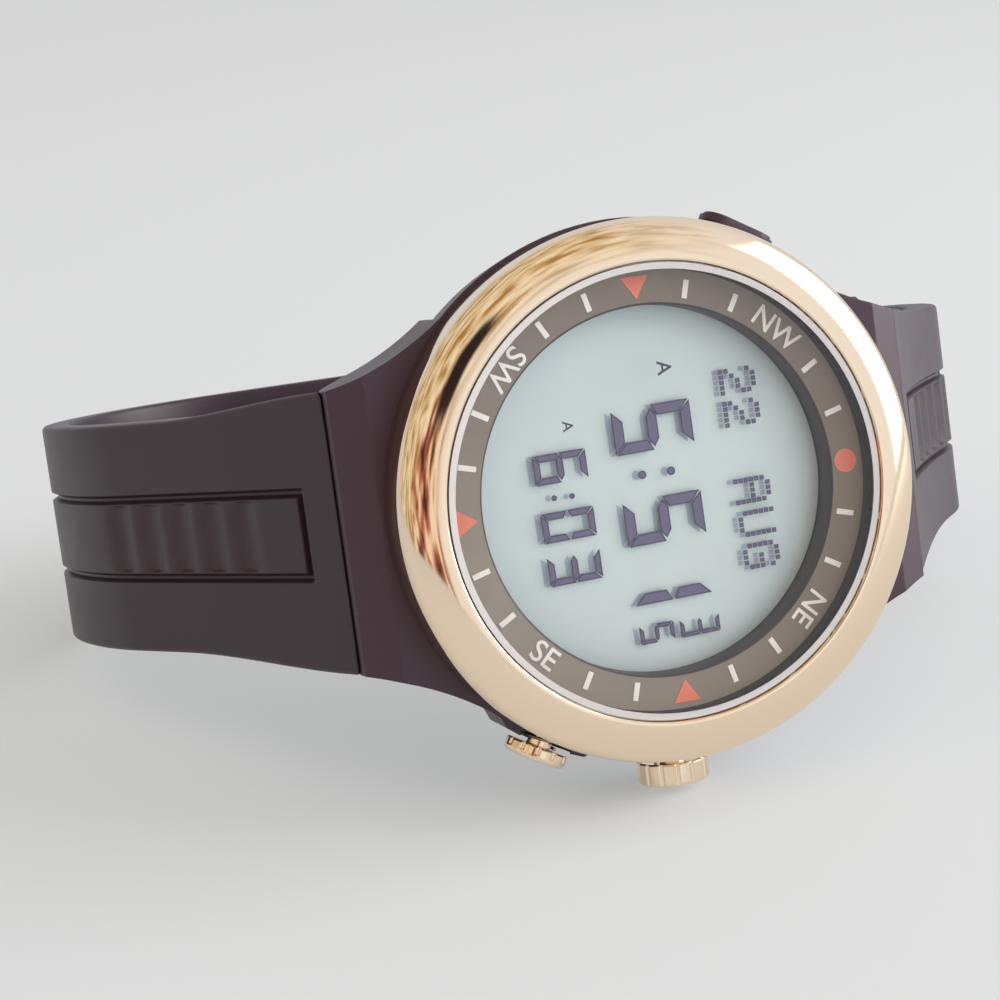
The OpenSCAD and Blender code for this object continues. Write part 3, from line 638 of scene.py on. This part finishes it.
# Each digit's figure, middle, width, height and width of bar, and each colon dot's middle and radius
DIGITS = (
    ("5", -5.67, 0.98, 4.2, 7.8, 1.05),
    ("5", 2.9, 0.88, 4.2, 7.8, 1.05),
    ("1", 8.4, 0.7, 4.2, 7.8, 1.05),
    ("6", -3.5, -8.42, 2.75, 5.15, 0.66),
    ("0", 1.85, -8.42, 2.75, 5.15, 0.66),
    ("3", 5.85, -8.42, 2.75, 5.15, 0.66),
    ("3", 13.4, 2.85, 1.65, 3.95, 0.42),
    ("5", 13.3, -1.45, 1.75, 3.4, 0.42),
)
COLONS = ((-1.38, 2.17, 0.4), (-1.48, -0.68, 0.4), (-0.72, -7.71, 0.27), (-0.82, -9.43, 0.27))
bars = [bar for digit in DIGITS for bar in digit_bars(*digit)]
bars += [arc((x, y), radius, 0, 345, 23) for x, y, radius in COLONS]

CHARACTERS = {
    "2": [".###.", "#...#", "....#", "..##.", ".#...", "#....", "#####"],
    "A": [".###.", "#...#", "#...#", "#####", "#...#", "#...#", "#...#"],
    "U": ["#...#", "#...#", "#...#", "#...#", "#...#", "#...#", ".###."],
    "G": [".###.", "#...#", "#....", "#.###", "#...#", "#...#", ".###."],
}
COLUMNS, ROWS = 5, 7
COLUMN_PITCH, ROW_PITCH, DOT_GAP = 0.5, 0.53, 0.09
WORDS_Y = 9.93
WORDS = (("2", -8.62), ("2", -5.6), ("A", 1.75), ("U", 4.85), ("G", 7.95))
SMALL_LETTERS = ((-11.1, 1.75, 1.35), (-7.15, -8.1, 1.0))


def dot_character(figure, x):
    """A character of five by seven square dots, cut from a grid"""
    bpy.ops.object.select_all(action="DESELECT")
    bpy.ops.mesh.primitive_grid_add(x_subdivisions=COLUMNS, y_subdivisions=ROWS, size=mm)
    grid = bpy.context.object
    grid.scale = (COLUMNS * COLUMN_PITCH, ROWS * ROW_PITCH, 1)
    grid.location = (x * mm, WORDS_Y * mm, 0)
    only(grid)
    bpy.ops.object.transform_apply(location=True, rotation=True, scale=True)

    def unlit(middle):
        column = int((middle.x - x) / COLUMN_PITCH + COLUMNS / 2)
        row = int((WORDS_Y - middle.y) / ROW_PITCH + ROWS / 2)
        return CHARACTERS[figure][row][column] == "."

    edit(grid, unlit, "faces")
    bpy.ops.mesh.delete(type="FACE")
    bpy.ops.mesh.select_all(action="SELECT")
    bpy.ops.mesh.inset(thickness=DOT_GAP / 2 * mm, use_individual=True)
    bpy.ops.mesh.select_all(action="INVERT")
    bpy.ops.mesh.delete(type="FACE")
    close_edit()
    return grid


DISPLAY_TURN = 1


def print_plate(name, parts, z, ink, edge, *materials):
    """Joins flat shapes at a height, gives them a thickness of ink and marks off an edge all round, in mm"""
    plate = join(name, parts)
    wear(plate, *materials)
    if edge:
        edit(plate)
        bpy.ops.mesh.normals_make_consistent(inside=False)
        bpy.ops.mesh.select_mode(type="FACE")
        bpy.ops.mesh.select_all(action="SELECT")
        bpy.ops.mesh.inset(thickness=edge * mm, use_individual=True)
        plate.active_material_index = 1
        bpy.ops.object.material_slot_assign()
        close_edit()
    plate.location.z = z * mm
    plate.rotation_euler.z = math.radians(DISPLAY_TURN)
    thick = plate.modifiers.new("thickness", "SOLIDIFY")
    thick.thickness = ink * mm
    thick.offset = 1
    only(plate)
    bpy.ops.object.modifier_apply(modifier="thickness")
    stand(plate)
    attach(plate, "case")


PRINT_Z, PRINT_INK = CELL_TOP + 0.01, 0.02
PAINTED_SHADOW_Z, PAINTED_SHADOW_INK, PAINTED_SHADOW_DROP = PANEL_TOP + 0.01, 0.01, 0.42
BAR_EDGE, DOT_EDGE = 0.11, 0.07
segments = [outline("bar", corners, "NGON") for corners in bars]
print_plate("display_segments", segments, PRINT_Z, PRINT_INK, BAR_EDGE, segment_edge, segment_fill)
dots = [dot_character(figure, x) for figure, x in WORDS]
print_plate("display_dots", dots, PRINT_Z, PRINT_INK, DOT_EDGE, segment_edge, segment_fill)
# The painted shadow: a copy of the segments and dots, set off towards 6 o'clock on the reflector.
painted_shadow_shapes = [outline("bar", corners, "NGON") for corners in bars]
painted_shadow_shapes += [dot_character(figure, x) for figure, x in WORDS]
for shape in painted_shadow_shapes:
    shape.location.y -= PAINTED_SHADOW_DROP * mm
print_plate("display_painted_shadow", painted_shadow_shapes, PAINTED_SHADOW_Z, PAINTED_SHADOW_INK, 0, painted_shadow_tone)
small_letters = [
    lettering("small_a", "A", (x, y, 0), height, 0, PRINT_INK / 2) for x, y, height in SMALL_LETTERS
]
small = join("display_letters", small_letters)
small.location.z += PRINT_Z * mm
wear(small, segment_edge)
stand(small)
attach(small, "case")

# Buttons
# The caps at 3 and 4 o'clock are turned from steel, fluted for grip and plated like the bezel. The one at 10
# o'clock is moulded like the case. Each is held by a clip and pushed out by a spring of plain steel.

button_gold = rose_gold("polished rose gold plate, buttons", 0.12 * mm)
wear(nodes["button_3"], button_gold)
wear(nodes["button_4"], button_gold)

MARK_SIZE, MARK_DEPTH, DEBURRED = 0.3 * mm, 0.01 * mm, 0.1 * mm


def turned_steel(name, colour="#b9bbbd", roughness=0.3):
    """Stainless steel off the lathe, press or coiler: a soft shine broken by fine tool marks"""
    material = new_material(name)
    tree = material.node_tree
    place = add(tree, "ShaderNodeTexCoord").outputs["Object"]
    # Real tool marks are about 0.05 mm apart. They are drawn coarser, so that they show.
    marks = add(tree, "ShaderNodeTexNoise", {"Vector": place, "Scale": 1 / MARK_SIZE, "Detail": 4})
    gloss = {"Value": marks.outputs["Fac"], "To Min": roughness - 0.07, "To Max": roughness + 0.07}
    shine = add(tree, "ShaderNodeMapRange", gloss)
    edges = add(tree, "ShaderNodeBevel", {"Radius": DEBURRED}, samples=4)
    relief = {
        "Height": marks.outputs["Fac"],
        "Strength": 0.15,
        "Distance": MARK_DEPTH,
        "Normal": edges.outputs[0],
    }
    bump = add(tree, "ShaderNodeBump", relief)
    steel = {"Base Color": linear(colour), "Metallic": 1}
    steel |= {"Roughness": shine.outputs[0], "Normal": bump.outputs[0]}
    return finish_with(material, add(tree, "ShaderNodeBsdfPrincipled", steel))


small_steel = turned_steel("spring steel")
for button in ("button_3", "button_4", "button_10"):
    wear(nodes[button + "_clip"], small_steel)
    wear(nodes[button + "_spring"], small_steel)

# Case back
# A plate pressed from stainless steel, with a satin finish. Four slotted screws hold it over a rubber gasket
# that seals the case.

wear(nodes["case_back"], turned_steel("satin stainless steel, case back", "#b4b6b8", 0.34))
wear(nodes["case_back_screws"], turned_steel("polished screw steel", "#c4c6c8", 0.22))
seal_rubber = plain_moulding("nitrile rubber, seals", "#2c2c2e", 0.6)
wear(nodes["case_back_gasket"], seal_rubber)
wear(nodes["button_seals"], seal_rubber)

# Module
# The works between the display and the case back: moulded frame, circuit board, striped rubber contacts,
# light panel, switch leaves, coin cell with its clip, and the buzzer with its spring.

wear(nodes["module_frame"], plain_moulding("grey moulded frame", "#5b5b60", 0.5))
wear(nodes["light_panel"], plain_moulding("milky light panel", "#dfe6e2", 0.5))
wear(nodes["circuit_board"], plain_moulding("green solder mask", "#2f6b4a", 0.35))
wear(nodes["contact_strips"], plain_moulding("striped conductive rubber", "#3a3a3c", 0.7))
wear(nodes["buzzer_disc"], turned_steel("brass sheet, buzzer", "#c9a24e", 0.3))
for part in ("switch_leaves", "battery", "battery_clip", "buzzer_spring"):
    wear(nodes[part], small_steel)

# Strap
# Two halves moulded in the case's polyurethane and set in the curl that they hold off the wrist. Two
# grooves run down each outer face, with soft ribs between them. A tab turns on the spring bar in the lug.

# A route starts at the lug and is a row of runs along the strap in mm, each with its turn in degrees.
ROUTE_START, ROOT_SLOPE = (25.673, -6.963), 59.4
LONG_ROUTE = ((35, 1), (17, 27), (39, 92.6), (38, 0))
SHORT_ROUTE = ((33, -9), (12, 30), (34, 100))
LONG_LENGTH, SHORT_LENGTH = 126, 77
ROOT_THICK, STRAP_THICK, TAPER = 5.2, 3, 45
OUTER_ROUND, INNER_ROUND = 0.5, 0.4
SEAM_WIDTH, STRAP_WIDTH, MIDDLE_HALF = 26.3, 23.2, 4.6
SEAM_Z, NARROW_Z = -6.3, -30
BAR, BAR_DEPTH, BAR_HOLE_R = (24.356, -7.742), 4.13, 0.9
SHOULDER_REACH = 4.4
GROOVE_X, GROOVE_DEPTH, GROOVE_FADE = 4, 0.7, 0.5
GROOVE_START, CROSS_GROOVE, SHORT_GROOVE_END = 6, 0.9, 42
RIB_START, RIB_PITCH, RIB_COUNT = 12.8, 5, 5
RIB_HALF, RIB_DIP = 3.4, 0.5
RIB_END = RIB_START + RIB_PITCH * RIB_COUNT
TIP_R = STRAP_WIDTH / 2 + 0.3
KEEPER_LENGTH, KEEPER_RECESS = 5.5, 1
RECESS_HALF = KEEPER_LENGTH / 2 + 0.1
FIXED_KEEPER, FREE_KEEPER = SHORT_LENGTH - 7.4, SHORT_LENGTH - 15


def station(route, distance):
    """Distance from the dial's centre, height and slope at a distance along a route of runs and turns"""
    u, z = ROUTE_START
    slope = math.radians(ROOT_SLOPE)
    for run, turn in route:
        part = min(run, distance)
        bend = math.radians(turn) * part / run
        if bend:
            radius = part / bend
            u += radius * (math.sin(slope + bend) - math.sin(slope))
            z += radius * (math.cos(slope + bend) - math.cos(slope))
        else:
            u += part * math.cos(slope)
            z -= part * math.sin(slope)
        slope += bend
        distance -= part
    return u, z, slope


def half_thickness(distance):
    """Half the strap's thickness, which tapers away from the lug"""
    return max(STRAP_THICK, ROOT_THICK - (ROOT_THICK - STRAP_THICK) * distance / TAPER) / 2


def strap_section():
    """The strap's section at its plain width and thickness, with both grooves and rounded edges"""
    wide, thick = STRAP_WIDTH / 2, STRAP_THICK / 2
    groove = [GROOVE_X + offset for offset in (-0.5, -0.15, 0.15, 0.5)]
    half = [(x, thick) for x in (0, 1.8, 3.2, *groove, 4.9, 7, 9)]
    half += arc((wide - OUTER_ROUND, thick - OUTER_ROUND), OUTER_ROUND, 90, 0, 4)
    half += arc((wide - INNER_ROUND, INNER_ROUND - thick), INNER_ROUND, 0, -90, 3)
    half += [(x, -thick) for x in (9, 7, 4.2, 1.8, 0)]
    return half + [(-x, z) for x, z in half[-2:0:-1]]


def strap_band(name, route, rings, groove_end, side, tip=False):
    """Extrudes the section ring by ring, sets each ring's width, depth and relief, and bends the strap"""
    band = outline(name, strap_section(), "NGON")
    edit(band)
    for _ in rings[1:]:
        bpy.ops.mesh.extrude_region_move(TRANSFORM_OT_translate={"value": (0, 0, mm)})
    close_edit()
    wide, thick = STRAP_WIDTH / 2, STRAP_THICK / 2
    for vertex in band.data.vertices:
        x, t = vertex.co.x / mm, vertex.co.y / mm
        order = round(vertex.co.z / mm)
        s = rings[order]
        grow = half_thickness(s) - thick
        t += grow if t > 0 else -grow
        squeeze = 1
        if tip and s > LONG_LENGTH - TIP_R:
            squeeze = min(1, math.sqrt(max(0.4, TIP_R**2 - (TIP_R - LONG_LENGTH + s) ** 2)) / wide)
        if vertex.co.y > 0:
            from_start = min(1, max(0, (s - GROOVE_START) / GROOVE_FADE))
            fade = from_start * min(1, max(0, (groove_end - s) / GROOVE_FADE))
            if abs(abs(x) - GROOVE_X) < 0.2:
                t -= GROOVE_DEPTH * fade
            elif abs(x) < GROOVE_X and GROOVE_START < s < GROOVE_START + CROSS_GROOVE:
                t -= GROOVE_DEPTH * fade
            elif abs(x) < RIB_HALF and RIB_START < s < RIB_END:
                t -= RIB_DIP / 2 * (1 - math.cos(2 * math.pi * (s - RIB_START) / RIB_PITCH))
        elif not tip and abs(s - FIXED_KEEPER) < RECESS_HALF:
            t += KEEPER_RECESS
        if order == 0:
            bar_t = ROOT_THICK / 2 - BAR_DEPTH
            s = math.sqrt(SHOULDER_REACH**2 - (t - bar_t) ** 2)
        u, z, slope = station(route, s)
        u += t * math.sin(slope)
        z += t * math.cos(slope)
        rise = min(1, max(0, (z - NARROW_Z) / (SEAM_Z - NARROW_Z)))
        spread = rise * rise * (3 - 2 * rise) * (SEAM_WIDTH - STRAP_WIDTH) / 2
        if abs(x) > MIDDLE_HALF:
            x += math.copysign(spread * (abs(x) - MIDDLE_HALF) / (wide - MIDDLE_HALF), x)
        vertex.co = (x * squeeze * mm, side * u * mm, z * mm)
    edit(band)
    bpy.ops.mesh.normals_make_consistent(inside=False)
    close_edit()
    return band


def cut(piece, tool, operation="DIFFERENCE"):
    """Cuts a tool out of a piece, or melts it onto the piece, and deletes the tool"""
    modifier = piece.modifiers.new("cut", "BOOLEAN")
    modifier.operation = operation
    modifier.object = tool
    only(piece)
    bpy.ops.object.modifier_apply(modifier="cut")
    bpy.data.objects.remove(tool)


ACROSS, THROUGH = (0, math.pi / 2, 0), 40
EYE_R, TAB_HALF_THICK, TAB_LENGTH, TAB_WIDTH = 1.9, 0.8, 5.7, 15.8


def strap_tab(side):
    """The eye round the spring bar and the flat tongue that joins it to the strap"""
    neck = math.degrees(math.asin(TAB_HALF_THICK / EYE_R))
    heading = (math.cos(math.radians(ROOT_SLOPE)), -math.sin(math.radians(ROOT_SLOPE)))
    root = (BAR[0] + TAB_LENGTH * heading[0], BAR[1] + TAB_LENGTH * heading[1])
    ends = [(root[0] - k * heading[1], root[1] + k * heading[0]) for k in (TAB_HALF_THICK, -TAB_HALF_THICK)]
    eye = arc(BAR, EYE_R, -ROOT_SLOPE - neck, neck - ROOT_SLOPE - 360, 28)
    tab = outline("tab", ends + eye, "NGON")
    edit(tab)
    bpy.ops.mesh.extrude_region_move(TRANSFORM_OT_translate={"value": (0, 0, TAB_WIDTH * mm)})
    close_edit()
    for vertex in tab.data.vertices:
        u, z, x = vertex.co
        vertex.co = (x - TAB_WIDTH / 2 * mm, side * u, z)
    edit(tab)
    bpy.ops.mesh.normals_make_consistent(inside=False)
    close_edit()
    return tab


def steps(first, last, step):
    """Evenly spaced places from the first to the last, about a step apart"""
    count = max(1, round((last - first) / step))
    return [first + (last - first) * i / count for i in range(count + 1)]


def finish_strap(band, side, node, body):
    """Adds the tab with its hole for the spring bar, and puts a half in place of its node"""
    cut(band, strap_tab(side), "UNION")
    cut(band, rod(BAR_HOLE_R, THROUGH, (0, side * BAR[0], BAR[1]), ACROSS))
    wear(band, strap_resin)
    smooth(band, 30)
    stand(band)
    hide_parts(node)
    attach(band, body)


strap_resin = satin_resin("satin polyurethane, strap", "#301f2d", 0.25 * mm)
ribbed_rings = [3, 4.8] + [GROOVE_START + s for s in (0, 0.1, 0.55, 0.85, 1)]
ribbed_rings += steps(GROOVE_START + 2, RIB_END, 0.62)
plain_start = RIB_END + 1.2
tip_start = LONG_LENGTH - TIP_R
tip_rings = [LONG_LENGTH - TIP_R * (1 - math.sin(math.radians(a))) for a in range(0, 85, 6)]
long_rings = ribbed_rings + steps(plain_start, tip_start - 1.5, 1.6) + tip_rings + [LONG_LENGTH - 0.02]
long_half = strap_band("strap_long_half", LONG_ROUTE, long_rings, tip_start, -1, tip=True)
HOLE_START, HOLE_PITCH, HOLE_COUNT, HOLE_R = 60, 7, 9, 1.2
for i in range(HOLE_COUNT):
    u, z, slope = station(LONG_ROUTE, HOLE_START + HOLE_PITCH * i)
    cut(long_half, rod(HOLE_R, 10, (0, -u, z), (slope, 0, 0)))
finish_strap(long_half, -1, "strap_long", "strap_long")

KNUCKLE_R, PIN_HOLE_R = 1.9, 0.8
recess_low, recess_high = FIXED_KEEPER - RECESS_HALF, FIXED_KEEPER + RECESS_HALF
short_rings = ribbed_rings + steps(plain_start, SHORT_GROOVE_END - 0.6, 0.8)
short_rings += [SHORT_GROOVE_END, SHORT_GROOVE_END + 0.5]
short_rings += steps(SHORT_GROOVE_END + 2, recess_low - 0.01, 1.5)
short_rings += steps(recess_low + 0.01, recess_high - 0.01, 1.4)
short_rings += steps(recess_high + 0.01, SHORT_LENGTH - 0.6, 1.4)
short_half = strap_band("strap_short_half", SHORT_ROUTE, short_rings, SHORT_GROOVE_END, 1)
u, z, slope = station(SHORT_ROUTE, SHORT_LENGTH)
cut(short_half, rod(KNUCKLE_R, STRAP_WIDTH - 0.2, (0, u, z), ACROSS, 40), "UNION")
cut(short_half, rod(PIN_HOLE_R, THROUGH, (0, u, z), ACROSS))


def set_on_short_half(piece, distance):
    """Moves a piece made about the origin, X across, Y along and Z outward, to its place on the short half"""
    u, z, slope = station(SHORT_ROUTE, distance)
    c, s = math.cos(slope), math.sin(slope)
    place = Matrix(((1, 0, 0, 0), (0, c, s, u * mm), (0, -s, c, z * mm), (0, 0, 0, 1)))
    piece.matrix_world = place @ piece.matrix_world
    only(piece)
    bpy.ops.object.transform_apply(location=True, rotation=True, scale=True)


def block(name, low, high):
    """A block between two corners in mm"""
    bpy.ops.object.select_all(action="DESELECT")
    bpy.ops.mesh.primitive_cube_add(size=mm, location=[(a + b) / 2 * mm for a, b in zip(low, high)])
    piece = bpy.context.object
    piece.name = name
    piece.data.name = name
    piece.scale = [b - a for a, b in zip(low, high)]
    only(piece)
    bpy.ops.object.transform_apply(location=True, rotation=True, scale=True)
    return piece


MOUTH = ((-1.4, -3.2, -5), (1.4, 6.8, 5))
mouth = block("mouth", *MOUTH)
set_on_short_half(mouth, SHORT_LENGTH)
cut(short_half, mouth)
finish_strap(short_half, 1, "strap_short", "strap_short")

# Keepers
# Two loops moulded in the strap's polyurethane, which hold the long half's tip. One lies in a recess of the
# short half, and the other slides along it.

# The loop's wall, the room inside it beside, behind and over the short half, and its rounded edges
KEEPER_WALL = 1.1
KEEPER_SIDE, KEEPER_BACK, KEEPER_ROOM = 0.2, 0.3, 3.4
CORNER_ROUND, FACE_ROUND, HOLE_ROUND = 1.1, 0.3, 0.35


def round_edges(piece, width, segments, test):
    """Rounds the edges whose middle passes a test, by a width in mm"""
    edit(piece, test, "edges")
    bpy.ops.mesh.bevel(offset=width * mm, segments=segments)
    close_edit()


def keeper(name, node, body, distance, low, high):
    """A moulded loop whose opening runs from low to high about the strap's middle"""
    half = STRAP_WIDTH / 2 + KEEPER_SIDE
    out = half + KEEPER_WALL
    top, bottom = high + KEEPER_WALL, low - KEEPER_WALL
    loop = block(name, (-out, -KEEPER_LENGTH / 2, bottom), (out, KEEPER_LENGTH / 2, top))
    round_edges(loop, CORNER_ROUND, 5, lambda middle: abs(middle.y) < 0.01)
    round_edges(loop, FACE_ROUND, 3, lambda middle: abs(abs(middle.y) - KEEPER_LENGTH / 2) < 0.01)
    hole = block("hole", (-half, -KEEPER_LENGTH, low), (half, KEEPER_LENGTH, high))
    round_edges(hole, HOLE_ROUND, 3, lambda middle: abs(middle.y) < 0.01)
    cut(loop, hole)
    set_on_short_half(loop, distance)
    wear(loop, strap_resin)
    smooth(loop, 30)
    stand(loop)
    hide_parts(node)
    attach(loop, body)


face = half_thickness(FIXED_KEEPER)
opening_top = face + KEEPER_ROOM
keeper("keeper_fixed", "fixed_keeper", "strap_short", FIXED_KEEPER, KEEPER_RECESS - face, opening_top)
keeper("keeper_free", "free_keeper", "free_keeper", FREE_KEEPER, -face - KEEPER_BACK, opening_top)

# Spring bars and buckle pin
# Plain steel. A spring bar holds each half in its lug, and the pin runs through the knuckle at the end of
# the short half.

for part in ("spring_bar_6", "spring_bar_12", "buckle_pin"):
    wear(nodes[part], small_steel)

# Buckle
# A frame and a tongue bent from steel, polished and plated like the bezel. Both turn on the pin, and the
# tongue stands in the mouth that is cut in the short half.

for part in ("buckle_frame", "buckle_tongue"):
    wear(nodes[part], button_gold)
